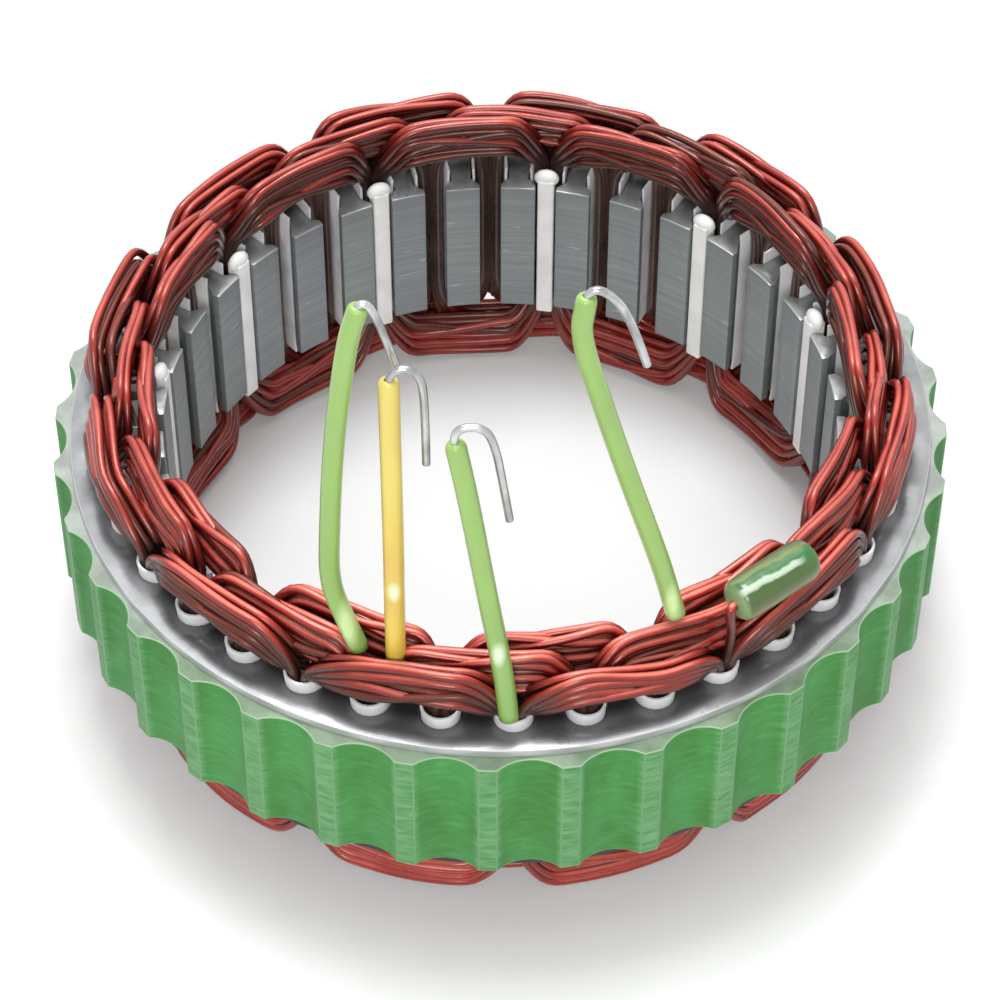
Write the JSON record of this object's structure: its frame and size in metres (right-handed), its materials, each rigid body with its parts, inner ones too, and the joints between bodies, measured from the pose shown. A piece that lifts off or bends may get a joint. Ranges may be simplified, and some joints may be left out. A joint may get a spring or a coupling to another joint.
{
  "type": "wound stator",
  "caption": "Wound stator of an alternator: scalloped laminated ring with end turns at both faces and upright hooked leads.",
  "frame": {"origin": "on the bore's axis, level with the lowest end turns, on which the part stands", "axes": "+Z along the bore's axis towards the end with the leads; -Y towards the leads; +X through the middle of a slot"},
  "size_m": [0.13, 0.13, 0.1064],
  "materials": {
    "core": "satin lacquer on the rim, bare steel on the faces and teeth",
    "liner": "matt insulation",
    "wedge": "matt",
    "enamelled_wire": "glossy clear red-brown enamel on copper",
    "tinned_wire": "bright tin on copper",
    "green_sleeve": "satin",
    "yellow_sleeve": "satin",
    "joint_tube": "glossy, see-through dark green"
  },
  "bodies": {
    "root": {"laminated_core": "core", "slot_liner_01": "liner", "slot_liner_02": "liner", "slot_liner_03": "liner", "slot_liner_04": "liner", "slot_liner_05": "liner", "slot_liner_06": "liner", "slot_liner_07": "liner", "slot_liner_08": "liner", "slot_liner_09": "liner", "slot_liner_10": "liner", "slot_liner_11": "liner", "slot_liner_12": "liner", "slot_liner_13": "liner", "slot_liner_14": "liner", "slot_liner_15": "liner", "slot_liner_16": "liner", "slot_liner_17": "liner", "slot_liner_18": "liner", "slot_liner_19": "liner", "slot_liner_20": "liner", "slot_liner_21": "liner", "slot_liner_22": "liner", "slot_liner_23": "liner", "slot_liner_24": "liner", "slot_liner_25": "liner", "slot_liner_26": "liner", "slot_liner_27": "liner", "slot_liner_28": "liner", "slot_liner_29": "liner", "slot_liner_30": "liner", "slot_liner_31": "liner", "slot_liner_32": "liner", "slot_liner_33": "liner", "slot_liner_34": "liner", "slot_liner_35": "liner", "slot_liner_36": "liner", "slot_wedges": "wedge", "winding_phase_a": "enamelled_wire", "winding_phase_b": "enamelled_wire", "winding_phase_c": "enamelled_wire", "lead_a_sleeve": "green_sleeve", "lead_a_wire": "tinned_wire", "lead_b_sleeve": "green_sleeve", "lead_b_wire": "tinned_wire", "lead_c_sleeve": "green_sleeve", "lead_c_wire": "tinned_wire", "lead_neutral_sleeve": "yellow_sleeve", "lead_neutral_wire": "tinned_wire", "joint_sleeve": "joint_tube", "joint_splice": "enamelled_wire"}
  },
  "joints": []
}
